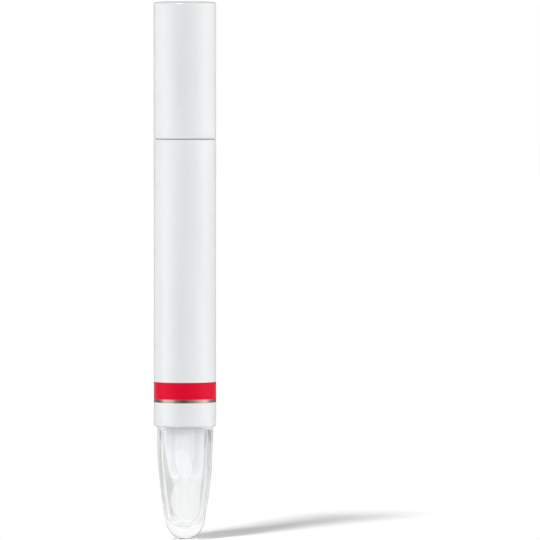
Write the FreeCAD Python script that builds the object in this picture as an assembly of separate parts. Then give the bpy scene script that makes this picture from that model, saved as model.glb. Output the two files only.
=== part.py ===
import FreeCAD, Part
import math
import os

# A nail oil pen stands on its clear end, in millimetres, with +Z up through its axis.
# From the bottom up: the clear end with three spare tips in it, the white barrel with its
# oil reservoir, and the white cap over the tip holder. The photographed side looks along -Y.

# Main sizes
clear_length = 25.3        # clear end that shows under the barrel
barrel_length = 64.4
joint_gap = 0.1            # open gap left at the cap and at the clear end
cap_length = 30.7
body_radius = 7.0          # barrel and cap
overrun = 1.0              # how far every cutting tool reaches past what it cuts

# Felt tips, one in the holder and three spare ones
tip_length = 17.0
tip_slant = 6.6            # height of the slanted cut
tip_butt_chamfer = 0.25
tip_exposed = 6.3
spare_count = 3
spare_gap = 0.08           # between one spare tip and the next
store_fit = 0.29           # around the spare tips, where the clear end is widest inside
spare_bottom = 13.7
first_spare_angle = -90.0  # the first spare tip stands in front
spare_turns = (-14.0, -170.0, 160.0)

# Clear end: a nearly straight flank that rolls into a round nose
clear_step = 0.67          # barrel's outside to the clear end's outside
flank_radius = 115.0
clear_wall = 1.25
neck_length = 8.0
neck_fit = 0.1             # between the plain neck and the bore that takes it
neck_lead = 0.3
bead_height = 0.06
bead_width = 0.9
bead_groove = 0.08
scoop_radius = 24.0        # hollow scoop across the back of the nose, for pushing cuticles
scoop_lip_offset = 0.45    # its lower edge, behind the axis
scoop_top = 12.0           # its upper edge, above the nose
scoop_floor = 1.6
nose_floor = 2.9           # solid plastic under the hollow

# Barrel
barrel_wall = 1.2
chamber_wall = 1.4
plug_seat_height = 27.0    # step in the bore, above the barrel's lower rim
bore_step = 0.25
rim_round = 0.5
rim_chamfer = 0.3
bore_chamfer = 0.2
flange_seat_wall = 0.8
flange_seat_depth = 1.0
rib_count = 6
rib_width = 0.6
rib_root = 0.1             # how deep a rib is rooted in its wall
bronze_band_height = 5.5   # lower edge, above the barrel's lower rim
bronze_band_width = 0.8
red_band_width = 3.8
band_depth = 0.05

# Rear plug of the oil chamber
plug_fit = 0.02
plug_floor = 1.2
plug_skirt = 1.5           # below its seat
plug_rise = 3.4            # above its seat, up to the reservoir
plug_wall = 0.9

# Oil reservoir: a fibre core in a film
core_fit = 0.05
film_wall = 0.1
recess_fit = 0.06
tip_dip = 0.8              # how deep the tip stands in the core

# Cap and its sealing liner
cap_wall = 0.8
cap_top_wall = 1.2
cap_corner_radius = 0.75
crown_flat_radius = 4.0
crown_radius = 25.0
cap_rib_count = 6
cap_rib_width = 0.7
liner_fit = 0.04
liner_wall = 0.7
liner_inset = 0.5          # above the cap's open rim
liner_neck_fit = 0.1
seal_fit = 0.05
seal_inset = 0.3           # below the snout's mouth
seal_length = 1.2
liner_cup_gap = 0.6        # around the snout
liner_cup_wall = 0.7
liner_top_wall = 0.8
liner_cone_fit = 0.4
liner_lead = 0.3

# Tip holder
holder_fit = 0.02
holder_skirt = 6.5         # below the barrel's upper rim
skirt_lead = 0.4
flange_fit = 0.05
holder_neck_length = 6.8   # above the barrel's upper rim
holder_neck_wall = 0.75
holder_web = 0.3           # core to the underside of the solid cone
snout_wall = 1.0
snout_length = 2.0
cone_length = 4.2
snout_lead = 0.4
tip_fit = 0.04
socket_chamfer = 0.3
vent_radius = 0.45
vent_wall = 0.9            # between the vent and the tip's socket

# Radii that follow
flank_top_radius = body_radius - clear_step
lower_bore_radius = body_radius - barrel_wall
neck_radius = lower_bore_radius - neck_fit
chamber_bore_radius = body_radius - chamber_wall
flange_seat_radius = body_radius - flange_seat_wall
liner_radius = body_radius - cap_wall - liner_fit
holder_neck_radius = liner_radius - liner_wall - liner_neck_fit
film_radius = holder_neck_radius - holder_neck_wall - core_fit
core_radius = film_radius - film_wall - core_fit
tip_pitch_share = math.sin(math.pi / spare_count)
store_radius = flank_top_radius - clear_wall - store_fit
tip_radius = (store_radius * tip_pitch_share - spare_gap / 2) / (1 + tip_pitch_share)
spare_circle_radius = store_radius - tip_radius
socket_radius = tip_radius + tip_fit
snout_radius = socket_radius + snout_wall
vent_circle_radius = socket_radius + vent_wall + vent_radius
liner_cup_radius = snout_radius + liner_cup_gap

# Heights that follow
barrel_bottom = clear_length
barrel_top = barrel_bottom + barrel_length
cap_bottom = barrel_top + joint_gap
cap_top = cap_bottom + cap_length
shoulder_height = barrel_bottom - joint_gap
neck_top = shoulder_height + neck_length
neck_bead_height = shoulder_height + neck_length / 2
plug_seat = barrel_bottom + plug_seat_height
bronze_bottom = barrel_bottom + bronze_band_height
red_bottom = bronze_bottom + bronze_band_width
red_top = red_bottom + red_band_width
holder_neck_top = barrel_top + holder_neck_length
holder_bead_height = barrel_top + holder_neck_length / 2
snout_bottom = holder_neck_top + cone_length
snout_top = snout_bottom + snout_length
tip_bottom = snout_top + tip_exposed - tip_length
core_top = tip_bottom + tip_dip
core_bottom = plug_seat + plug_rise


def at(radius, height):
    return FreeCAD.Vector(radius, 0, height)


def outline(corners):
    """Edges of a closed outline. A corner is (radius, height) or (radius, height, rounding)."""
    points = [at(corner[0], corner[1]) for corner in corners]
    rounds = [corner[2] if len(corner) > 2 else 0 for corner in corners]
    count = len(points)
    leave = []
    arrive = []
    arcs = []
    for i in range(count):
        here = points[i]
        back = (points[i - 1] - here).normalize()
        ahead = (points[(i + 1) % count] - here).normalize()
        half_angle = back.getAngle(ahead) / 2
        if rounds[i] == 0:
            arrive.append(here)
            leave.append(here)
            arcs.append(None)
            continue
        run = rounds[i] / math.tan(half_angle)
        start = here + back * run
        end = here + ahead * run
        inward = (back + ahead).normalize()
        middle = here + inward * (rounds[i] / math.sin(half_angle) - rounds[i])
        arrive.append(start)
        leave.append(end)
        arcs.append(Part.Arc(start, middle, end).toShape())
    edges = []
    for i in range(count):
        if arcs[i]:
            edges.append(arcs[i])
        following = (i + 1) % count
        if leave[i].distanceToPoint(arrive[following]) > 0:
            edges.append(Part.LineSegment(leave[i], arrive[following]).toShape())
    return edges


def turned(edges):
    """Solid of revolution about the pen's axis."""
    face = Part.Face(Part.Wire(Part.__sortEdges__(edges)))
    return face.revolve(at(0, 0), FreeCAD.Vector(0, 0, 1), 360)


def round_stretch(start, end, centre):
    """Arc from start to end about centre, the short way."""
    radius = (start - centre).Length
    middle = centre + ((start + end) / 2 - centre).normalize() * radius
    return Part.Arc(start, middle, end).toShape()


def straight(start, end):
    return Part.LineSegment(start, end).toShape()


def cylinder(radius, bottom, top, x=0, y=0):
    return Part.makeCylinder(radius, top - bottom, FreeCAD.Vector(x, y, bottom))


def ring(inner, outer, bottom, top):
    return cylinder(outer, bottom, top).cut(cylinder(inner, bottom, top))


def around(shape, count):
    """Copies of a shape, evenly turned about the pen's axis."""
    copies = []
    for i in range(count):
        copy = shape.copy()
        copy.rotate(at(0, 0), FreeCAD.Vector(0, 0, 1), 360 * i / count)
        copies.append(copy)
    return copies


def bullet(inset, floor, top):
    """The clear end's form, moved inwards by inset: round nose from floor, long flank, flat top."""
    flank_centre = at(flank_top_radius - flank_radius, shoulder_height)
    reach = flank_radius - inset
    depth = shoulder_height - floor
    tangency = reach ** 2 - flank_centre.x ** 2 - depth ** 2
    nose_radius = tangency / (2 * (reach - depth))
    nose_centre = at(0, floor + nose_radius)
    to_nose = (nose_centre - flank_centre).normalize()
    meeting = nose_centre + to_nose * nose_radius
    nose = at(0, floor)
    rise = shoulder_height - scoop_top - scoop_floor
    above_scoop = flank_centre + at(math.sqrt(reach ** 2 - rise ** 2), -rise)
    flank_top = at(flank_top_radius - inset, shoulder_height)
    edges = [
        round_stretch(nose, meeting, nose_centre),
        round_stretch(meeting, above_scoop, flank_centre),
        round_stretch(above_scoop, flank_top, flank_centre),
    ]
    rim = at(flank_top_radius - inset, top)
    if top > shoulder_height:
        edges.append(straight(flank_top, rim))
    edges.append(straight(rim, at(0, top)))
    edges.append(straight(at(0, top), nose))
    return turned(edges)


def scoop_centre():
    """Middle of the ball that scoops the nose: its surface passes the lip and the upper edge."""
    lip = FreeCAD.Vector(0, scoop_lip_offset, 0)
    drop = flank_radius - math.sqrt(flank_radius ** 2 - (shoulder_height - scoop_top) ** 2)
    upper = FreeCAD.Vector(0, flank_top_radius - drop, scoop_top)
    chord = upper - lip
    away = FreeCAD.Vector(0, chord.z, -chord.y).normalize()
    sag = math.sqrt(scoop_radius ** 2 - (chord.Length / 2) ** 2)
    return (lip + upper) / 2 + away * sag


def make_clear_end():
    centre = scoop_centre()
    body = bullet(0, 0, shoulder_height)
    body = body.cut(Part.makeSphere(scoop_radius, centre))
    neck = turned(outline([
        (0, shoulder_height - clear_wall),
        (neck_radius, shoulder_height - clear_wall),
        (neck_radius, neck_bead_height - bead_width),
        (neck_radius + bead_height, neck_bead_height - bead_width / 2),
        (neck_radius + bead_height, neck_bead_height + bead_width / 2),
        (neck_radius, neck_bead_height + bead_width),
        (neck_radius, neck_top - neck_lead),
        (neck_radius - neck_lead, neck_top),
        (0, neck_top),
    ]))
    hollow = bullet(clear_wall, nose_floor, neck_top + overrun)
    hollow = hollow.cut(Part.makeSphere(scoop_radius + scoop_floor, centre))
    return body.fuse(neck).removeSplitter().cut(hollow)


def make_barrel():
    groove = lower_bore_radius + bead_groove
    shell = turned(outline([
        (lower_bore_radius + bore_chamfer, barrel_bottom),
        (body_radius, barrel_bottom, rim_round),
        (body_radius, bronze_bottom),
        (body_radius - band_depth, bronze_bottom),
        (body_radius - band_depth, red_top),
        (body_radius, red_top),
        (body_radius, barrel_top - rim_chamfer),
        (body_radius - rim_chamfer, barrel_top),
        (flange_seat_radius, barrel_top),
        (flange_seat_radius, barrel_top - flange_seat_depth),
        (chamber_bore_radius, barrel_top - flange_seat_depth),
        (chamber_bore_radius, plug_seat + bore_step),
        (chamber_bore_radius - bore_step, plug_seat + bore_step),
        (chamber_bore_radius - bore_step, plug_seat),
        (lower_bore_radius, plug_seat),
        (lower_bore_radius, neck_bead_height + bead_width),
        (groove, neck_bead_height + bead_width / 2),
        (groove, neck_bead_height - bead_width / 2),
        (lower_bore_radius, neck_bead_height - bead_width),
        (lower_bore_radius, barrel_bottom + bore_chamfer),
    ]))
    rib_tip = film_radius + core_fit
    rib_top = barrel_top - holder_skirt - rib_width
    rib = Part.makeBox(
        chamber_bore_radius + rib_root - rib_tip, rib_width, rib_top - core_bottom,
        FreeCAD.Vector(rib_tip, -rib_width / 2, core_bottom),
    )
    return shell.fuse(around(rib, rib_count))


def make_rear_plug():
    radius = lower_bore_radius - plug_fit
    spigot = chamber_bore_radius - bore_step - plug_fit
    collar = core_radius - plug_wall
    return turned(outline([
        (0, plug_seat),
        (radius - plug_wall, plug_seat),
        (radius - plug_wall, plug_seat - plug_skirt),
        (radius, plug_seat - plug_skirt),
        (radius, plug_seat),
        (spigot, plug_seat),
        (spigot, plug_seat + plug_floor),
        (core_radius, plug_seat + plug_floor),
        (core_radius, core_bottom),
        (collar, core_bottom),
        (collar, plug_seat + plug_floor),
        (0, plug_seat + plug_floor),
    ]))


def make_reservoir():
    core = cylinder(core_radius, core_bottom, core_top)
    recess = cylinder(tip_radius + recess_fit, tip_bottom - recess_fit, core_top + overrun)
    film = ring(film_radius - film_wall, film_radius, core_bottom, core_top)
    return core.cut(recess), film


def make_tip_holder():
    skirt = chamber_bore_radius - holder_fit
    flange = flange_seat_radius - flange_fit
    hollow = film_radius + core_fit
    web = core_top + holder_web
    body = turned(outline([
        (socket_radius, web),
        (hollow, web),
        (hollow, barrel_top - holder_skirt),
        (skirt - skirt_lead, barrel_top - holder_skirt),
        (skirt, barrel_top - holder_skirt + skirt_lead),
        (skirt, barrel_top - flange_seat_depth),
        (flange, barrel_top - flange_seat_depth),
        (flange, barrel_top),
        (holder_neck_radius, barrel_top),
        (holder_neck_radius, holder_bead_height - bead_width),
        (holder_neck_radius + bead_height, holder_bead_height - bead_width / 2),
        (holder_neck_radius + bead_height, holder_bead_height + bead_width / 2),
        (holder_neck_radius, holder_bead_height + bead_width),
        (holder_neck_radius, holder_neck_top),
        (snout_radius, snout_bottom),
        (snout_radius, snout_top - snout_lead),
        (snout_radius - snout_lead, snout_top),
        (socket_radius + socket_chamfer, snout_top),
        (socket_radius, snout_top - socket_chamfer),
    ]))
    vent = cylinder(vent_radius, core_top, snout_bottom, x=vent_circle_radius)
    return body.cut(vent)


def felt_tip(bottom, x, y, turn, slant_up):
    """Round felt rod with one slanted end. Turn is where the slanted face looks, 0 along -Y."""
    rod = cylinder(tip_radius, -overrun, tip_length)
    reach = tip_radius + overrun
    low = -tip_slant * overrun / (2 * tip_radius)
    high = tip_slant - low
    wedge = Part.Face(Part.makePolygon([
        FreeCAD.Vector(-reach, -reach, high),
        FreeCAD.Vector(-reach, reach, low),
        FreeCAD.Vector(-reach, reach, low - reach),
        FreeCAD.Vector(-reach, -reach, low - reach),
        FreeCAD.Vector(-reach, -reach, high),
    ])).extrude(FreeCAD.Vector(2 * reach, 0, 0))
    rod = rod.cut(wedge)
    butt = [edge for edge in rod.Edges if edge.BoundBox.ZMin > tip_length - tip_butt_chamfer]
    rod = rod.makeChamfer(tip_butt_chamfer, butt)
    if slant_up:
        rod.rotate(at(0, tip_length / 2), FreeCAD.Vector(0, 1, 0), 180)
    rod.rotate(at(0, 0), FreeCAD.Vector(0, 0, 1), turn)
    rod.translate(FreeCAD.Vector(x, y, bottom))
    return rod


def make_spare_tips():
    tips = []
    for number, turn in enumerate(spare_turns):
        angle = math.radians(first_spare_angle + 360 * number / spare_count)
        x = spare_circle_radius * math.cos(angle)
        y = spare_circle_radius * math.sin(angle)
        tips.append(felt_tip(spare_bottom, x, y, turn, False))
    return tips


def make_cap_shell():
    bore = body_radius - cap_wall
    crown_centre = at(crown_flat_radius, cap_top - crown_radius)
    across = body_radius - cap_corner_radius - crown_flat_radius
    corner_reach = crown_radius - cap_corner_radius
    corner_drop = crown_radius - math.sqrt(corner_reach ** 2 - across ** 2)
    corner_centre = at(body_radius - cap_corner_radius, cap_top - corner_drop)
    crown_end = crown_centre + (corner_centre - crown_centre).normalize() * crown_radius
    side_top = at(body_radius, cap_top - corner_drop)
    flat_end = at(crown_flat_radius, cap_top)
    rim_outside = at(body_radius, cap_bottom + rim_chamfer)
    rim_bottom = at(body_radius - rim_chamfer, cap_bottom)
    bore_mouth = at(bore, cap_bottom)
    bore_end = at(bore, cap_top - cap_top_wall)
    ceiling = at(0, cap_top - cap_top_wall)
    shell = turned([
        straight(at(0, cap_top), flat_end),
        round_stretch(flat_end, crown_end, crown_centre),
        round_stretch(crown_end, side_top, corner_centre),
        straight(side_top, rim_outside),
        straight(rim_outside, rim_bottom),
        straight(rim_bottom, bore_mouth),
        straight(bore_mouth, bore_end),
        straight(bore_end, ceiling),
        straight(ceiling, at(0, cap_top)),
    ])
    rib_tip = liner_cup_radius + liner_cup_wall + liner_fit
    rib_bottom = snout_top
    rib_top = cap_top - cap_top_wall + rib_root
    rib = Part.makeBox(
        bore + rib_root - rib_tip, cap_rib_width, rib_top - rib_bottom,
        FreeCAD.Vector(rib_tip, -cap_rib_width / 2, rib_bottom),
    )
    return shell.fuse(around(rib, cap_rib_count))


def make_cap_liner():
    neck_bore = holder_neck_radius + liner_neck_fit
    cup_outside = liner_cup_radius + liner_cup_wall
    top = cap_top - cap_top_wall - liner_fit
    seal_top = snout_top - seal_inset
    seal_bottom = seal_top - seal_length
    seal = snout_radius + seal_fit
    groove = neck_bore + bead_groove
    return turned(outline([
        (0, top - liner_top_wall),
        (liner_cup_radius, top - liner_top_wall),
        (liner_cup_radius, seal_top + seal_fit * 2),
        (seal, seal_top),
        (seal, seal_bottom),
        (snout_radius + liner_cone_fit, seal_bottom - seal_fit * 2),
        (snout_radius + liner_cone_fit, snout_bottom - liner_cone_fit / 2),
        (neck_bore, holder_neck_top),
        (neck_bore, holder_bead_height + bead_width),
        (groove, holder_bead_height + bead_width / 2),
        (groove, holder_bead_height - bead_width / 2),
        (neck_bore, holder_bead_height - bead_width),
        (neck_bore, cap_bottom + liner_inset + liner_lead),
        (neck_bore + liner_lead, cap_bottom + liner_inset),
        (liner_radius, cap_bottom + liner_inset),
        (liner_radius, snout_bottom - cone_length / 2),
        (cup_outside, snout_top),
        (cup_outside, top),
        (0, top),
    ]))


def make_bands():
    inside = body_radius - band_depth
    bronze = ring(inside, body_radius, bronze_bottom, red_bottom)
    red = ring(inside, body_radius, red_bottom, red_top)
    return bronze, red


def main():
    os.makedirs("parts", exist_ok=True)
    core, film = make_reservoir()
    bronze, red = make_bands()
    pieces = {
        "clear_end": make_clear_end(),
        "barrel": make_barrel(),
        "bronze_band": bronze,
        "red_band": red,
        "rear_plug": make_rear_plug(),
        "reservoir_core": core,
        "reservoir_film": film,
        "tip_holder": make_tip_holder(),
        "applicator_tip": felt_tip(tip_bottom, 0, 0, 0, True),
        "cap_shell": make_cap_shell(),
        "cap_liner": make_cap_liner(),
    }
    for number, tip in enumerate(make_spare_tips(), 1):
        pieces[f"spare_tip_{number}"] = tip
    for name, shape in pieces.items():
        box = shape.BoundBox
        print(f"{name}: {len(shape.Solids)} solid, valid {shape.isValid()}, {shape.Volume:.1f} mm3,"
              f" z {box.ZMin:.2f} to {box.ZMax:.2f}, faces {len(shape.Faces)}")
        shape.exportStep(f"parts/{name}.step")


main()
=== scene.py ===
import bpy
import bmesh
import math
from mathutils import Matrix, Vector


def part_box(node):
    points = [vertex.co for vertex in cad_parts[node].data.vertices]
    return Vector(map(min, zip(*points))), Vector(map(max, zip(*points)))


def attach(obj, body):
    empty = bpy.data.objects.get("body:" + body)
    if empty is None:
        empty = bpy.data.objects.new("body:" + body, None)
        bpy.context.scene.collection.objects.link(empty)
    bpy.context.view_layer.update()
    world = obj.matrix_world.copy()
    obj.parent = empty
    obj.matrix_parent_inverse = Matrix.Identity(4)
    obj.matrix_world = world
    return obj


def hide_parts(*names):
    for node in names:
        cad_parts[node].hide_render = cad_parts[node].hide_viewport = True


# Nail oil pen, standing on its clear end. Sizes are millimetres until they are times mm.

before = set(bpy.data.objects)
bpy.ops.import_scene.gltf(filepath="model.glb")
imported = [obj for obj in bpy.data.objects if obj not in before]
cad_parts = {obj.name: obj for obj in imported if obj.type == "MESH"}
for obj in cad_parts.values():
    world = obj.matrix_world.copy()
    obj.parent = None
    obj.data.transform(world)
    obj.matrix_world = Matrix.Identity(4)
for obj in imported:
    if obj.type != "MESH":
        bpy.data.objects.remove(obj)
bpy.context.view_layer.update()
mm = 0.001
roundSteps = 160    # sides of a full turn
mergeReach = 0.001  # points this near are one
ringReach = 0.002   # how far a point may lie off the ring that is rounded
tinyEdge = 0.0005   # edges this short are dissolved
cutReach = 0.0001   # points this near to a cut are on it


def boxOf(node):
    low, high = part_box(node)
    return low / mm, high / mm


def linearColour(hexColour):
    channels = [int(hexColour[i:i + 2], 16) / 255 for i in (1, 3, 5)]
    linear = [c / 12.92 if c <= 0.04045 else ((c + 0.055) / 1.055) ** 2.4 for c in channels]
    return (*linear, 1)


def addNode(tree, kind, settings=None, links=None):
    node = tree.nodes.new(kind)
    for name, value in (settings or {}).items():
        if isinstance(name, int) or name in node.inputs:
            node.inputs[name].default_value = value
        else:
            setattr(node, name, value)
    for name, source in (links or {}).items():
        tree.links.new(source, node.inputs[name])
    return node


def startMaterial(name, settings):
    material = bpy.data.materials.new(name)
    material.use_nodes = True
    tree = material.node_tree
    shader = tree.nodes["Principled BSDF"]
    for socket, value in settings.items():
        shader.inputs[socket].default_value = value
    return material, tree, shader


def setRamp(ramp, stops):
    # stops are (position, colour), in rising order
    while len(ramp.elements) < len(stops):
        ramp.elements.new(1)
    for element, (position, colour) in zip(ramp.elements, stops):
        element.position = position
        element.color = colour


# Patterns of the materials

def placeIn(tree, along=1):
    # place on the piece, with what lies there drawn out along the pen when along is below 1
    place = addNode(tree, "ShaderNodeTexCoord").outputs["Object"]
    return addNode(tree, "ShaderNodeMapping", {"Scale": (1, 1, along)},
                   {"Vector": place}).outputs[0]


def noise(tree, place, size, detail, roughness=0.5):
    # features are this many millimetres wide
    return addNode(tree, "ShaderNodeTexNoise", {
        "Scale": 1 / (size * mm), "Detail": detail, "Roughness": roughness},
        {"Vector": place}).outputs["Fac"]


def twoTone(tree, pattern, dark, light, darkTo=0.3, lightFrom=0.7):
    tint = addNode(tree, "ShaderNodeValToRGB", links={"Fac": pattern})
    setRamp(tint.color_ramp, [(darkTo, linearColour(dark)), (lightFrom, linearColour(light))])
    return tint.outputs[0]


def spread(tree, pattern, low, high):
    return addNode(tree, "ShaderNodeMapRange", {"To Min": low, "To Max": high},
                   {"Value": pattern}).outputs[0]


def bumps(tree, pattern, strength, depth):
    return addNode(tree, "ShaderNodeBump", {"Strength": strength, "Distance": depth * mm},
                   {"Height": pattern}).outputs[0]


def wire(tree, shader, sources):
    for socket, source in sources.items():
        tree.links.new(source, shader.inputs[socket])


# Profiles are drawn in the plane of radius and height, then spun about the pen's axis

def lineTo(bm, last, radius, height):
    end = bm.verts.new((radius * mm, 0, height * mm))
    if last:
        bm.edges.new((last, end))
    return end


def arcTo(bm, last, centre, degrees, steps):
    # counterclockwise when degrees are positive
    made = bmesh.ops.spin(
        bm, geom=[last], cent=(centre[0] * mm, 0, centre[1] * mm), axis=(0, -1, 0),
        angle=math.radians(degrees), steps=steps, use_merge=False)
    return [v for v in made["geom_last"] if isinstance(v, bmesh.types.BMVert)][0]


def snapBead(radius, middle, width, height):
    # corners of a low bead around a neck, from its foot upwards
    return [
        (radius, middle - width),
        (radius + height, middle - width / 2),
        (radius + height, middle + width / 2),
        (radius, middle + width),
    ]


def spinRound(bm):
    bmesh.ops.spin(
        bm, geom=bm.verts[:] + bm.edges[:], cent=(0, 0, 0), axis=(0, 0, 1), angle=2 * math.pi,
        steps=roundSteps, use_merge=True)
    bmesh.ops.remove_doubles(bm, verts=bm.verts[:], dist=mergeReach * mm)
    bmesh.ops.recalc_face_normals(bm, faces=bm.faces[:])


def roundEdges(bm, edges, rounding, segments):
    bmesh.ops.bevel(
        bm, geom=edges, offset=rounding * mm, offset_type="OFFSET", segments=segments,
        profile=0.5, affect="EDGES", clamp_overlap=True, material=-1)


def roundRing(bm, radius, height, rounding, segments=4):
    near = ringReach * mm
    onRing = {
        v for v in bm.verts
        if abs(v.co.xy.length - radius * mm) < near and abs(v.co.z - height * mm) < near}
    ring = [e for e in bm.edges if e.verts[0] in onRing and e.verts[1] in onRing]
    roundEdges(bm, ring, rounding, segments)


def turnedPiece(corners):
    # closed outline of (radius, height) corners, some with a rounding as a third number
    bm = bmesh.new()
    last = None
    first = None
    for radius, height, *_ in corners:
        last = lineTo(bm, last, radius, height)
        first = first or last
    if first.co.x > 0 or last.co.x > 0:
        bm.edges.new((last, first))
    spinRound(bm)
    for radius, height, *rounding in corners:
        if rounding:
            roundRing(bm, radius, height, rounding[0])
    return bm


def turnBy(bm, degrees, axis, centre):
    bmesh.ops.rotate(
        bm, cent=centre, matrix=Matrix.Rotation(math.radians(degrees), 3, axis),
        verts=bm.verts[:])


def finishPiece(bm, name, material, body, node, sharpAngle=40):
    bmesh.ops.dissolve_degenerate(bm, edges=bm.edges[:], dist=tinyEdge * mm)
    for face in bm.faces:
        face.smooth = True
    mesh = bpy.data.meshes.new(name)
    bm.to_mesh(mesh)
    bm.free()
    mesh.set_sharp_from_angle(angle=math.radians(sharpAngle))
    mesh.materials.append(material)
    piece = bpy.data.objects.new(name, mesh)
    bpy.context.scene.collection.objects.link(piece)
    weighted = piece.modifiers.new("even shading", "WEIGHTED_NORMAL")
    weighted.keep_sharp = True
    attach(piece, body)
    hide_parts(node)
    print(f"{name}: {len(mesh.polygons)} faces")


# Materials

def makePolishedAbs():
    # Polished moulded ABS: a cool white with a clear gloss and a very faint flow from moulding
    material, tree, shader = startMaterial("polished moulded ABS", {
        "IOR": 1.54, "Subsurface Weight": 0.05, "Subsurface Radius": (0.4, 0.4, 0.45),
        "Subsurface Scale": mm})
    flow = noise(tree, placeIn(tree, along=0.15), size=6, detail=3.0)
    skin = noise(tree, placeIn(tree), size=0.8, detail=2.0)
    wire(tree, shader, {
        "Base Color": twoTone(tree, flow, "#E3E4E6", "#E7E8EA"),
        "Roughness": spread(tree, flow, low=0.11, high=0.17),
        "Normal": bumps(tree, skin, strength=0.06, depth=0.01)})
    return material


def makeRedPrint():
    # Screen-printed lacquer: full red, glossy, with the slight mottling of a printed film
    material, tree, shader = startMaterial("red screen print lacquer", {
        "IOR": 1.5, "Roughness": 0.1, "Specular IOR Level": 0.12,
        "Specular Tint": linearColour("#FFB4BE")})
    mottle = noise(tree, placeIn(tree), size=0.35, detail=4.0)
    wire(tree, shader, {
        "Base Color": twoTone(tree, mottle, "#DA0A2E", "#E00E34"),
        "Normal": bumps(tree, mottle, strength=0.08, depth=0.01)})
    return material


def makeBronzeFoil():
    # Hot-stamped bronze foil: a thin bright metal line with fine scuffs around the barrel
    material, tree, shader = startMaterial("hot-stamped bronze foil", {"Metallic": 1.0})
    scuff = noise(tree, placeIn(tree, along=8), size=0.5, detail=3.0)
    wire(tree, shader, {
        "Base Color": twoTone(tree, scuff, "#9F8C80", "#AC998D"),
        "Roughness": spread(tree, scuff, low=0.12, high=0.2)})
    return material


def makeClearAcrylic():
    # Clear moulded acrylic: water-clear, polished, bends what stands behind it
    turnsInside = 3.5
    paintedGlow = 0.35
    material, tree, shader = startMaterial("clear moulded acrylic", {
        "Base Color": linearColour("#FDFEFE"), "IOR": 1.49, "Roughness": 0.0,
        "Transmission Weight": 0.93})
    ripple = noise(tree, placeIn(tree), size=4, detail=1.0)
    # painted glow: light still caught inside after four turns would be lost, so the glass itself
    # gives off a pale light there, though it is no lamp
    rays = addNode(tree, "ShaderNodeLightPath")
    caught = addNode(tree, "ShaderNodeMath", {"operation": "GREATER_THAN", 1: turnsInside},
                     {0: rays.outputs["Glossy Depth"]})
    paintedGlowStrength = addNode(tree, "ShaderNodeMath", {"operation": "MULTIPLY", 1: paintedGlow},
                   {0: caught.outputs[0]})
    wire(tree, shader, {
        "Emission Strength": paintedGlowStrength.outputs[0],
        "Normal": bumps(tree, ripple, strength=0.03, depth=0.02)})
    return material


def makeFelt():
    # Bonded polyester felt: off-white, matt, fibres running lengthwise, whiter where ground, partly
    # as cut fibre ends and partly as painted light
    material, tree, shader = startMaterial("bonded polyester felt", {
        "IOR": 1.45, "Roughness": 0.9, "Sheen Weight": 0.2, "Sheen Roughness": 0.5,
        "Subsurface Weight": 0.15, "Subsurface Radius": (0.5, 0.5, 0.5), "Subsurface Scale": mm})
    # real fibres are about 0.03 mm, drawn coarser so that they show
    fibre = noise(tree, placeIn(tree, along=0.12), size=0.12, detail=5.0, roughness=0.6)
    pores = noise(tree, placeIn(tree), size=0.2, detail=3.0)
    # faces that look up or down, which are the ground faces, are whiter: partly the cut fibre ends,
    # partly painted light standing in for the light these faces catch from below
    facing = addNode(tree, "ShaderNodeSeparateXYZ", links={
        "Vector": addNode(tree, "ShaderNodeTexCoord").outputs["Normal"]})
    slant = addNode(tree, "ShaderNodeMath", {"operation": "ABSOLUTE"}, {0: facing.outputs["Z"]})
    groundFacesAndPaintedLight = addNode(tree, "ShaderNodeMapRange", {"From Min": 0.2, "From Max": 0.5},
                     {"Value": slant.outputs[0]})
    # inputs 6 and 7 of a colour mix are its two colours, output 2 is what comes of them
    shade = addNode(tree, "ShaderNodeMix", {"data_type": "RGBA", 7: linearColour("#FAFBFC")}, {
        "Factor": groundFacesAndPaintedLight.outputs[0], 6: twoTone(tree, fibre, "#E0E3E6", "#EDEFF1", lightFrom=0.65)})
    rough = addNode(tree, "ShaderNodeMath", {"operation": "ADD"}, {0: fibre, 1: pores})
    wire(tree, shader, {
        "Base Color": shade.outputs[2],
        "Normal": bumps(tree, rough.outputs[0], strength=0.35, depth=0.05)})
    return material


def makeNaturalPolypropylene():
    # Natural moulded polypropylene: milky, waxy, soft gloss
    material, tree, shader = startMaterial("natural moulded polypropylene", {
        "IOR": 1.49, "Subsurface Weight": 0.4, "Subsurface Radius": (1.0, 1.0, 0.9),
        "Subsurface Scale": mm})
    waxy = noise(tree, placeIn(tree), size=1.5, detail=4.0)
    wire(tree, shader, {
        "Base Color": twoTone(tree, waxy, "#DCDFDD", "#E6E8E5"),
        "Roughness": spread(tree, waxy, low=0.3, high=0.42),
        "Normal": bumps(tree, waxy, strength=0.1, depth=0.02)})
    return material


def makeFibreCore():
    # Bundled polyester fibre soaked with oil: pale straw, streaked lengthwise, slightly wet
    material, tree, shader = startMaterial("oil-soaked fibre bundle", {
        "IOR": 1.47, "Roughness": 0.45})
    strands = noise(tree, placeIn(tree, along=0.03), size=0.2, detail=6.0)
    wire(tree, shader, {
        "Base Color": twoTone(tree, strands, "#CFC59C", "#E8E1C4"),
        "Normal": bumps(tree, strands, strength=0.4, depth=0.06)})
    return material


def makeFilm():
    # Extruded polypropylene film: thin, milky, glossy, with faint draw lines
    material, tree, shader = startMaterial("extruded polypropylene film", {
        "IOR": 1.49, "Transmission Weight": 0.6})
    drawLines = noise(tree, placeIn(tree, along=0.02), size=0.5, detail=3.0)
    wire(tree, shader, {
        "Base Color": twoTone(tree, drawLines, "#DEE2E0", "#EEF0EE"),
        "Roughness": spread(tree, drawLines, low=0.15, high=0.3)})
    return material


polishedAbs = makePolishedAbs()
redPrint = makeRedPrint()
bronzeFoil = makeBronzeFoil()
clearAcrylic = makeClearAcrylic()
felt = makeFelt()
naturalPolypropylene = makeNaturalPolypropylene()
fibreCore = makeFibreCore()
film = makeFilm()
print("materials made")


# Cap: one polished shell with a softly rounded top edge and a barely crowned top

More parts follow.
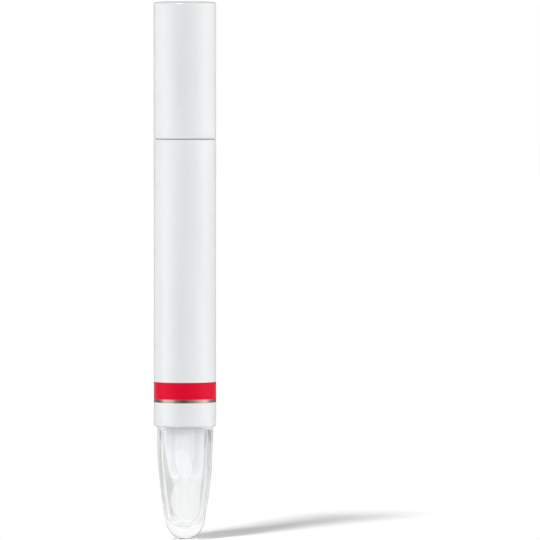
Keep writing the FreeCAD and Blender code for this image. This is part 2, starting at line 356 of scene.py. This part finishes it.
capShell = {
    "wall": 0.8,
    "topWall": 1.2,
    "flatRadius": 4.0,
    "crownRadius": 25.0,
    "crownSteps": 6,
    "topRounding": 0.75,
    "topSegments": 8,
    "rimRounding": 0.3,
    "innerRimRounding": 0.12,
    "innerRimSegments": 3,
    "boreRounding": 0.4,
}


def makeCapShell():
    s = capShell
    low, high = boxOf("cap_shell")
    radius = high.x
    bore = radius - s["wall"]
    ceiling = high.z - s["topWall"]
    crownCentre = (s["flatRadius"], high.z - s["crownRadius"])
    crownTurn = math.degrees(math.asin((radius - s["flatRadius"]) / s["crownRadius"]))
    bm = bmesh.new()
    last = lineTo(bm, None, 0, high.z)
    last = lineTo(bm, last, s["flatRadius"], high.z)
    last = arcTo(bm, last, crownCentre, -crownTurn, s["crownSteps"])
    shoulder = last.co.z / mm
    last = lineTo(bm, last, radius, low.z)
    last = lineTo(bm, last, bore, low.z)
    last = lineTo(bm, last, bore, ceiling)
    lineTo(bm, last, 0, ceiling)
    spinRound(bm)
    roundRing(bm, radius, shoulder, s["topRounding"], s["topSegments"])
    roundRing(bm, radius, low.z, s["rimRounding"])
    roundRing(bm, bore, low.z, s["innerRimRounding"], s["innerRimSegments"])
    roundRing(bm, bore, ceiling, s["boreRounding"])
    finishPiece(bm, "cap_outer", polishedAbs, "cap", "cap_shell")


# Tip holder: flange on the barrel's rim, round neck with a snap bead, cone and snout

tipHolder = {
    "flangeDepth": 1.0,
    "skirtRadius": 5.58,
    "skirtLead": 0.4,
    "hollowRadius": 4.61,
    "webHeight": 3.4,
    "neckRadius": 5.36,
    "beadHeight": 0.06,
    "beadWidth": 0.9,
    "coneLength": 4.2,
    "snoutRadius": 3.24,
    "snoutLength": 2.0,
    "socketRadius": 2.24,
    "rounding": 0.2,
}


def makeTipHolder():
    s = tipHolder
    low, high = boxOf("tip_holder")
    barrelTop = boxOf("barrel")[1].z
    flange = high.x
    r = s["rounding"]
    snoutBottom = high.z - s["snoutLength"]
    neckTop = snoutBottom - s["coneLength"]
    web = barrelTop + s["webHeight"]
    bm = turnedPiece([
        (s["socketRadius"], web),
        (s["hollowRadius"], web, r),
        (s["hollowRadius"], low.z),
        (s["skirtRadius"] - s["skirtLead"], low.z, r / 2),
        (s["skirtRadius"], low.z + s["skirtLead"], r / 2),
        (s["skirtRadius"], barrelTop - s["flangeDepth"]),
        (flange, barrelTop - s["flangeDepth"]),
        (flange, barrelTop, r / 3),
        (s["neckRadius"], barrelTop, r / 2),
        *snapBead(s["neckRadius"], (barrelTop + neckTop) / 2, s["beadWidth"], s["beadHeight"]),
        (s["neckRadius"], neckTop, r * 2),
        (s["snoutRadius"], snoutBottom, r * 2),
        (s["snoutRadius"], high.z, r * 2),
        (s["socketRadius"], high.z, r),
    ])
    finishPiece(bm, "tip_holder_insert", naturalPolypropylene, "barrel", "tip_holder")


# Cap liner: grips the holder's neck, and its lip seals around the snout

capLiner = {
    "wall": 0.7,
    "cupWall": 0.7,
    "topWall": 0.8,
    "cupRadius": 3.84,
    "sealRadius": 3.29,
    "coneRadius": 3.64,
    "sealBelowSnout": 0.3,
    "sealLength": 1.2,
    "grooveDepth": 0.08,
    "grooveWidth": 0.9,
    "leadIn": 0.3,
    "rounding": 0.15,
}


def makeCapLiner():
    s = capLiner
    low, high = boxOf("cap_liner")
    barrelTop = boxOf("barrel")[1].z
    snoutTop = boxOf("tip_holder")[1].z
    snoutBottom = snoutTop - tipHolder["snoutLength"]
    neckTop = snoutBottom - tipHolder["coneLength"]
    outside = high.x
    neck = outside - s["wall"]
    cup = s["cupRadius"] + s["cupWall"]
    groove = snapBead(neck, (barrelTop + neckTop) / 2, s["grooveWidth"], s["grooveDepth"])
    sealTop = snoutTop - s["sealBelowSnout"]
    sealBottom = sealTop - s["sealLength"]
    r = s["rounding"]
    bm = turnedPiece([
        (0, high.z - s["topWall"]),
        (s["cupRadius"], high.z - s["topWall"], r),
        (s["cupRadius"], sealTop + r),
        (s["sealRadius"], sealTop),
        (s["sealRadius"], sealBottom),
        (s["coneRadius"], sealBottom - r),
        (s["coneRadius"], snoutBottom - r),
        (neck, neckTop, r),
        *reversed(groove),
        (neck, low.z + s["leadIn"], r),
        (neck + s["leadIn"], low.z, r / 2),
        (outside, low.z, r),
        (outside, snoutBottom - tipHolder["coneLength"] / 2, r),
        (cup, snoutTop, r),
        (cup, high.z, r),
        (0, high.z),
    ])
    finishPiece(bm, "cap_inner_seal", naturalPolypropylene, "cap", "cap_liner")


# Barrel: one straight tube with a rounded lower rim and a shallow seat for the print

barrelTube = {
    "wall": 1.2,
    "chamberWall": 1.4,
    "seatHeight": 27.0,
    "boreStep": 0.25,
    "flangeWall": 0.8,
    "flangeDepth": 1.0,
    "printDepth": 0.05,
    "lowerRounding": 0.5,
    "upperRounding": 0.3,
    "innerRounding": 0.15,
}


def makeBarrel():
    s = barrelTube
    low, high = boxOf("barrel")
    printLow = boxOf("bronze_band")[0].z
    printHigh = boxOf("red_band")[1].z
    radius = high.x
    bore = radius - s["wall"]
    chamber = radius - s["chamberWall"]
    seat = low.z + s["seatHeight"]
    recess = radius - s["printDepth"]
    flange = radius - s["flangeWall"]
    bm = turnedPiece([
        (bore, low.z, s["innerRounding"]),
        (radius, low.z, s["lowerRounding"]),
        (radius, printLow),
        (recess, printLow),
        (recess, printHigh),
        (radius, printHigh),
        (radius, high.z, s["upperRounding"]),
        (flange, high.z, s["innerRounding"] / 2),
        (flange, high.z - s["flangeDepth"]),
        (chamber, high.z - s["flangeDepth"]),
        (chamber, seat + s["boreStep"]),
        (chamber - s["boreStep"], seat + s["boreStep"]),
        (chamber - s["boreStep"], seat),
        (bore, seat),
    ])
    finishPiece(bm, "barrel_tube", polishedAbs, "barrel", "barrel")


def makeBand(name, node, material):
    low, high = boxOf(node)
    inside = high.x - barrelTube["printDepth"]
    bm = turnedPiece([(inside, low.z), (high.x, low.z), (high.x, high.z), (inside, high.z)])
    finishPiece(bm, name, material, "barrel", node)


# Clear end: round nose, long flank, hollow scoop across the back, neck inside the barrel

clearEnd = {
    "flankRadius": 115.0,
    "wall": 1.25,
    "noseFloor": 2.9,
    "neckRadius": 5.7,
    "neckLength": 8.0,
    "beadHeight": 0.06,
    "beadWidth": 0.9,
    "scoopRadius": 24.0,
    "scoopLip": 0.45,
    "scoopTop": 12.0,
    "scoopFloor": 1.6,
    "edgeSoftness": 0.35,
    "fineTop": 15.0,    # below this the flank has close steps, which the scoop needs
    "noseSteps": 40,
    "fineSteps": 70,
    "flankSteps": 16,
    "rounding": 0.05,
    "rimSegments": 3,
    "sharpAngle": 50,
}


def scoopCentre(flankTop, shoulder):
    s = clearEnd
    drop = s["flankRadius"] - math.sqrt(s["flankRadius"] ** 2 - (shoulder - s["scoopTop"]) ** 2)
    lip = Vector((0, s["scoopLip"], 0))
    upper = Vector((0, flankTop - drop, s["scoopTop"]))
    chord = upper - lip
    away = Vector((0, chord.z, -chord.y)).normalized()
    return (lip + upper) / 2 + away * math.sqrt(s["scoopRadius"] ** 2 - (chord.length / 2) ** 2)


def noseRound(flankTop, shoulder, reach, floor):
    # circle that rounds the nose off from this floor, and the angle where it meets the flank
    depth = shoulder - floor
    inwards = clearEnd["flankRadius"] - flankTop
    radius = (reach ** 2 - inwards ** 2 - depth ** 2) / (2 * (reach - depth))
    centre = (0, floor + radius)
    return centre, math.degrees(math.atan2(depth - radius, inwards))


def pressBall(verts, centre, radius, softness):
    # pushes what lies inside the ball out to its surface, with an edge this soft
    for v in verts:
        ray = v.co / mm - centre
        gap = ray.length - radius
        if gap < softness:
            held = max(gap + softness, 0) ** 2 / (4 * softness)
            v.co = (centre + ray.normalized() * (radius + held)) * mm


def makeClearEnd():
    s = clearEnd
    low, high = boxOf("clear_end")
    flankTop = high.x
    bore = flankTop - s["wall"]
    shoulder = high.z - s["neckLength"]
    flankCentre = (flankTop - s["flankRadius"], shoulder)
    noseCentre, meeting = noseRound(flankTop, shoulder, s["flankRadius"], 0)
    hollowCentre, hollowMeeting = noseRound(
        flankTop, shoulder, s["flankRadius"] - s["wall"], s["noseFloor"])
    fine = math.degrees(math.asin((shoulder - s["fineTop"]) / s["flankRadius"]))
    beadMiddle = shoulder + s["neckLength"] / 2
    bm = bmesh.new()
    inside = bm.verts.layers.int.new("inside")
    last = lineTo(bm, None, 0, 0)
    last = arcTo(bm, last, noseCentre, 90 - meeting, s["noseSteps"])
    last = arcTo(bm, last, flankCentre, meeting - fine, s["fineSteps"])
    last = arcTo(bm, last, flankCentre, fine, s["flankSteps"])
    last = lineTo(bm, last, s["neckRadius"], shoulder)
    for radius, height in snapBead(s["neckRadius"], beadMiddle, s["beadWidth"], s["beadHeight"]):
        last = lineTo(bm, last, radius, height)
    last = lineTo(bm, last, s["neckRadius"], high.z)
    outer = set(bm.verts)
    last = lineTo(bm, last, bore, high.z)
    last = lineTo(bm, last, bore, shoulder)
    last = arcTo(bm, last, flankCentre, -fine, s["flankSteps"])
    last = arcTo(bm, last, flankCentre, fine - hollowMeeting, s["fineSteps"])
    arcTo(bm, last, hollowCentre, hollowMeeting - 90, s["noseSteps"])
    for v in bm.verts:
        v[inside] = v not in outer
    spinRound(bm)
    ball = scoopCentre(flankTop, shoulder)
    pressBall([v for v in bm.verts if not v[inside]], ball, s["scoopRadius"], s["edgeSoftness"])
    pressBall([v for v in bm.verts if v[inside]], ball, s["scoopRadius"] + s["scoopFloor"],
              s["edgeSoftness"])
    roundRing(bm, flankTop, shoulder, s["rounding"], s["rimSegments"])
    roundRing(bm, s["neckRadius"], high.z, s["rounding"] * 2, s["rimSegments"])
    finishPiece(bm, "clear_nose", clearAcrylic, "clear_end", "clear_end",
                s["sharpAngle"])


# Felt tips: a rod that tapers to a blunt end, with one slanted face ground on it

feltTip = {
    "taperLength": 6.4,
    "taperSteps": 12,
    "endRadius": 0.9,
    "endRounding": 0.5,
    "slantHeight": 7.0,
    "slantReach": 0.8,
    "slantRounding": 0.08,
    "buttRounding": 0.25,
    "rimSegments": 3,
    "spareTurns": (-14, -170, 160),
}


def makeFeltTip(name, node, body, turn, slantUp):
    s = feltTip
    low, high = boxOf(node)
    radius = (high.x - low.x) / 2
    length = high.z - low.z
    axis = Vector(((low.x + high.x) / 2, (low.y + high.y) / 2, low.z))
    taper = radius - s["endRadius"]
    reach = (taper ** 2 + s["taperLength"] ** 2) / (2 * taper)
    taperTurn = math.degrees(math.asin(s["taperLength"] / reach))
    bm = bmesh.new()
    last = lineTo(bm, None, 0, 0)
    last = lineTo(bm, last, s["endRadius"], 0)
    last = arcTo(bm, last, (radius - reach, s["taperLength"]), taperTurn, s["taperSteps"])
    last = lineTo(bm, last, radius, length)
    lineTo(bm, last, 0, length)
    spinRound(bm)
    roundRing(bm, s["endRadius"], 0, s["endRounding"])
    roundRing(bm, radius, length, s["buttRounding"], s["rimSegments"])
    outwards = Vector((0, -s["slantHeight"], -radius - s["slantReach"])).normalized()
    cut = bmesh.ops.bisect_plane(
        bm, geom=bm.verts[:] + bm.edges[:] + bm.faces[:],
        plane_co=(0, s["slantReach"] * mm, 0), plane_no=outwards, clear_outer=True,
        dist=cutReach * mm)
    rim = [e for e in cut["geom_cut"] if isinstance(e, bmesh.types.BMEdge)]
    bmesh.ops.contextual_create(bm, geom=rim)
    bmesh.ops.recalc_face_normals(bm, faces=bm.faces[:])
    roundEdges(bm, rim, s["slantRounding"], s["rimSegments"])
    if slantUp:
        turnBy(bm, 180, "Y", (0, 0, length / 2 * mm))
    turnBy(bm, turn, "Z", (0, 0, 0))
    bmesh.ops.translate(bm, vec=axis * mm, verts=bm.verts[:])
    finishPiece(bm, name, felt, body, node)


makeCapShell()
makeCapLiner()
makeTipHolder()
makeBarrel()
makeBand("bronze_line", "bronze_band", bronzeFoil)
makeBand("red_print_band", "red_band", redPrint)
makeClearEnd()
for number, turn in enumerate(feltTip["spareTurns"], 1):
    makeFeltTip(f"felt_spare_{number}", f"spare_tip_{number}", f"spare_tip_{number}", turn, False)
makeFeltTip("felt_applicator", "applicator_tip", "applicator_tip", 0, True)
print("new pieces made")

# Inner pieces whose CAD shape is right keep it and get their finish here
for node, material in (("rear_plug", naturalPolypropylene), ("reservoir_core", fibreCore),
                       ("reservoir_film", film)):
    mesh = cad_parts[node].data
    mesh.materials.clear()
    mesh.materials.append(material)
print("inner pieces finished")


# Studio: a white floor, a soft lamp high on the left, and a painted surround

studio = {
    "floorSize": 8000.0,
    "floorSquares": 8,
    "floorDrop": 0.02,
    "floorLift": 0.23,
    "lampDirection": (-0.266, -0.578, 0.771),
    "lampDegrees": 10.0,
    "lampStrength": 2.3,
    "ambient": 0.1,
    # Stops of the surround: place and strength. A place is the azimuth in degrees, from the
    # camera's side to the right, or the height, which is 0 at the horizon and 1 overhead.
    # cards at the pen's height, which its upright walls reflect
    "cards": ((-180, 0.0), (-163, 0.4), (-119, 0.2), (-106, 0.3), (-95, 0.6), (-86, 1.6),
              (-75, 1.7), (-57, 1.65), (-49, 1.45), (-41, 1.0), (-33, 0.55), (-18, 0.3),
              (-8, 0.18), (3, 0.2), (11, 0.35), (20, 0.52), (34, 0.65), (49, 1.15), (66, 1.6),
              (76, 1.85), (86, 1.85), (95, 1.0), (107, 0.5), (120, 0.3), (137, 0.2),
              (180, 0.0)),
    "cardHeight": ((-0.22, 0), (-0.16, 1), (0.06, 1), (0.12, 0)),
    # soft lights low over the horizon, at the sides and towards the back
    "sides": ((-160, 0.0), (-150, 14.5), (-92, 14.5), (-82, 0.0), (60, 0.0), (72, 20.5),
              (148, 20.5), (158, 0.0)),
    "sideHeight": ((0.04, 0), (0.07, 1), (0.13, 1), (0.16, 0)),
    # what glass shows: white with dark edges between, by the azimuth to either side,
    # and a little brighter above the horizon, which whitens the nose's tip
    "glass": ((0, 0.98), (14, 0.98), (18, 0.62), (36, 0.62), (40, 1.05), (60, 1.05), (64, 0.5),
              (76, 0.5), (80, 0.95), (98, 0.95), (102, 0.5), (116, 0.5), (120, 0.97), (180, 0.97)),
    "glassHeight": ((0.02, 1), (0.06, 1.07), (0.6, 1.07), (0.8, 1)),
    # light that reaches the felt through the glass, by height, brighter from below
    "glassInside": ((-0.4, 1.9), (0.1, 1.3)),
    # black flags behind the nose, each by azimuth and height: low ones, then those whose
    # reflection runs down the nose's edge from the collar
    "flags": (
        (((-178, 0.0), (-172, 0.4), (-140, 0.4), (-134, 0.0), (124, 0.0), (130, 0.35),
          (162, 0.35), (168, 0.0)),
         ((-0.14, 0), (-0.11, 1), (-0.068, 1), (-0.063, 0))),
        (((-154, 0.0), (-150, 0.85), (-138, 0.85), (-132, 0.0), (124, 0.0), (130, 0.75),
          (162, 0.75), (168, 0.0)),
         ((-0.068, 0), (-0.063, 1), (-0.0545, 1), (-0.0535, 0))),
    ),
}


def makeFloor():
    s = studio
    bm = bmesh.new()
    bmesh.ops.create_grid(
        bm, x_segments=s["floorSquares"], y_segments=s["floorSquares"],
        size=s["floorSize"] / 2 * mm)
    bmesh.ops.translate(bm, vec=(0, 0, -s["floorDrop"] * mm), verts=bm.verts[:])
    mesh = bpy.data.meshes.new("floor")
    bm.to_mesh(mesh)
    bm.free()
    # Matt white card, lifted to white where it is seen, so that it still takes the shadow
    material, tree, shader = startMaterial("matt white card", {
        "Base Color": linearColour("#FDFDFD"), "Roughness": 0.9, "Specular IOR Level": 0.1,
        "Emission Color": (1, 1, 1, 1)})
    rays = addNode(tree, "ShaderNodeLightPath").outputs
    seen = addNode(tree, "ShaderNodeMath", {"operation": "MAXIMUM"},
                   {0: rays["Is Camera Ray"], 1: rays["Is Transmission Ray"]})
    lift = addNode(tree, "ShaderNodeMath", {"operation": "MULTIPLY", 1: s["floorLift"]},
                   {0: seen.outputs[0]})
    wire(tree, shader, {"Emission Strength": lift.outputs[0]})
    mesh.materials.append(material)
    floor = bpy.data.objects.new("floor", mesh)
    bpy.context.scene.collection.objects.link(floor)
    # gloss and glass show the surround instead of the floor and its shadow
    floor.visible_glossy = False
    floor.visible_transmission = False


def makeWorld():
    s = studio
    world = bpy.data.worlds.new("studio")
    bpy.context.scene.world = world
    world.use_nodes = True
    tree = world.node_tree
    background = tree.nodes["Background"]
    towards = addNode(tree, "ShaderNodeTexCoord").outputs["Generated"]
    parts = addNode(tree, "ShaderNodeSeparateXYZ", links={"Vector": towards}).outputs
    back = addNode(tree, "ShaderNodeMath", {"operation": "MULTIPLY", 1: -1.0}, {0: parts["Y"]})
    azimuth = addNode(tree, "ShaderNodeMath", {"operation": "ARCTAN2"},
                      {0: parts["X"], 1: back.outputs[0]})
    turn = addNode(tree, "ShaderNodeMapRange", {"From Min": -math.pi, "From Max": math.pi},
                   {"Value": azimuth.outputs[0]})
    rise = addNode(tree, "ShaderNodeMapRange", {"From Min": -1.0, "From Max": 1.0},
                   {"Value": parts["Z"]})
    rays = addNode(tree, "ShaderNodeLightPath").outputs

    def graded(along, stops, reach):
        ramp = addNode(tree, "ShaderNodeValToRGB", links={"Fac": along.outputs[0]})
        setRamp(ramp.color_ramp, [
            (0.5 + place / (2 * reach), (level, level, level, 1)) for place, level in stops])
        return ramp.outputs[0]

    def byAzimuth(stops):
        return graded(turn, stops, 180)

    def byHeight(stops):
        return graded(rise, stops, 1)

    def combined(operation, *values):
        links = {i: value for i, value in enumerate(values) if not isinstance(value, float)}
        settings = {i: value for i, value in enumerate(values) if isinstance(value, float)}
        settings["operation"] = operation
        return addNode(tree, "ShaderNodeMath", settings, links).outputs[0]

    cards = combined("MULTIPLY", byAzimuth(s["cards"]), byHeight(s["cardHeight"]))
    sides = combined("MULTIPLY", byAzimuth(s["sides"]), byHeight(s["sideHeight"]))
    # gloss doesn't mirror the side lights, which would burn out the cap's flat top
    sides = combined("MULTIPLY", sides, combined("SUBTRACT", 1.0, rays["Is Glossy Ray"]))
    strength = combined("ADD", combined("ADD", cards, sides), s["ambient"])
    eitherSide = [(-place, level) for place, level in reversed(s["glass"])] + list(s["glass"])
    seen = combined("MULTIPLY", byAzimuth(eitherSide), byHeight(s["glassHeight"]))
    for width, height in s["flags"]:
        flag = combined("MULTIPLY", byAzimuth(width), byHeight(height))
        seen = combined("MULTIPLY", seen, combined("SUBTRACT", 1.0, flag))
    # rays that left the felt get its own light through the glass
    through = addNode(tree, "ShaderNodeMix", {"data_type": "FLOAT"}, {
        "Factor": rays["Diffuse Depth"], "A": seen, "B": byHeight(s["glassInside"])})
    throughGlass = addNode(tree, "ShaderNodeMix", {"data_type": "FLOAT"}, {
        "Factor": rays["Is Transmission Ray"], "A": strength, "B": through.outputs[0]})
    # the camera itself sees plain white
    final = addNode(tree, "ShaderNodeMix", {"data_type": "FLOAT", "B": 1.0}, {
        "Factor": rays["Is Camera Ray"], "A": throughGlass.outputs[0]})
    background.inputs["Color"].default_value = (1, 1, 1, 1)
    tree.links.new(final.outputs[0], background.inputs["Strength"])


def makeLamp():
    s = studio
    lamp = bpy.data.lights.new("soft lamp", "SUN")
    lamp.angle = math.radians(s["lampDegrees"])
    lamp.energy = s["lampStrength"]
    direction = Vector(s["lampDirection"]).normalized()
    lampObject = bpy.data.objects.new("soft lamp", lamp)
    lampObject.location = direction
    lampObject.rotation_euler = (-direction).to_track_quat("-Z", "Y").to_euler()
    # seen through glass it would burn out spots of the nose
    lampObject.visible_transmission = False
    bpy.context.scene.collection.objects.link(lampObject)


# Camera: the picture's middle lies right of the pen, half way up it

cameraView = {
    "middle": (19.06, 0, 60.4),
    "distance": 1800.0,
    "height": 117.0,
    "width": 120.97,
}


def makeCamera():
    s = cameraView
    middle = Vector(s["middle"]) * mm
    camera = bpy.data.cameras.new("camera")
    cameraObject = bpy.data.objects.new("camera", camera)
    cameraObject.location = (middle.x, -s["distance"] * mm, s["height"] * mm)
    sight = middle - cameraObject.location
    cameraObject.rotation_euler = sight.to_track_quat("-Z", "Y").to_euler()
    camera.lens = camera.sensor_width * sight.length / (s["width"] * mm)
    bpy.context.scene.collection.objects.link(cameraObject)
    bpy.context.scene.camera = cameraObject


makeFloor()
makeWorld()
makeLamp()
makeCamera()
bpy.context.scene.view_settings.view_transform = "Standard"
print("studio ready")
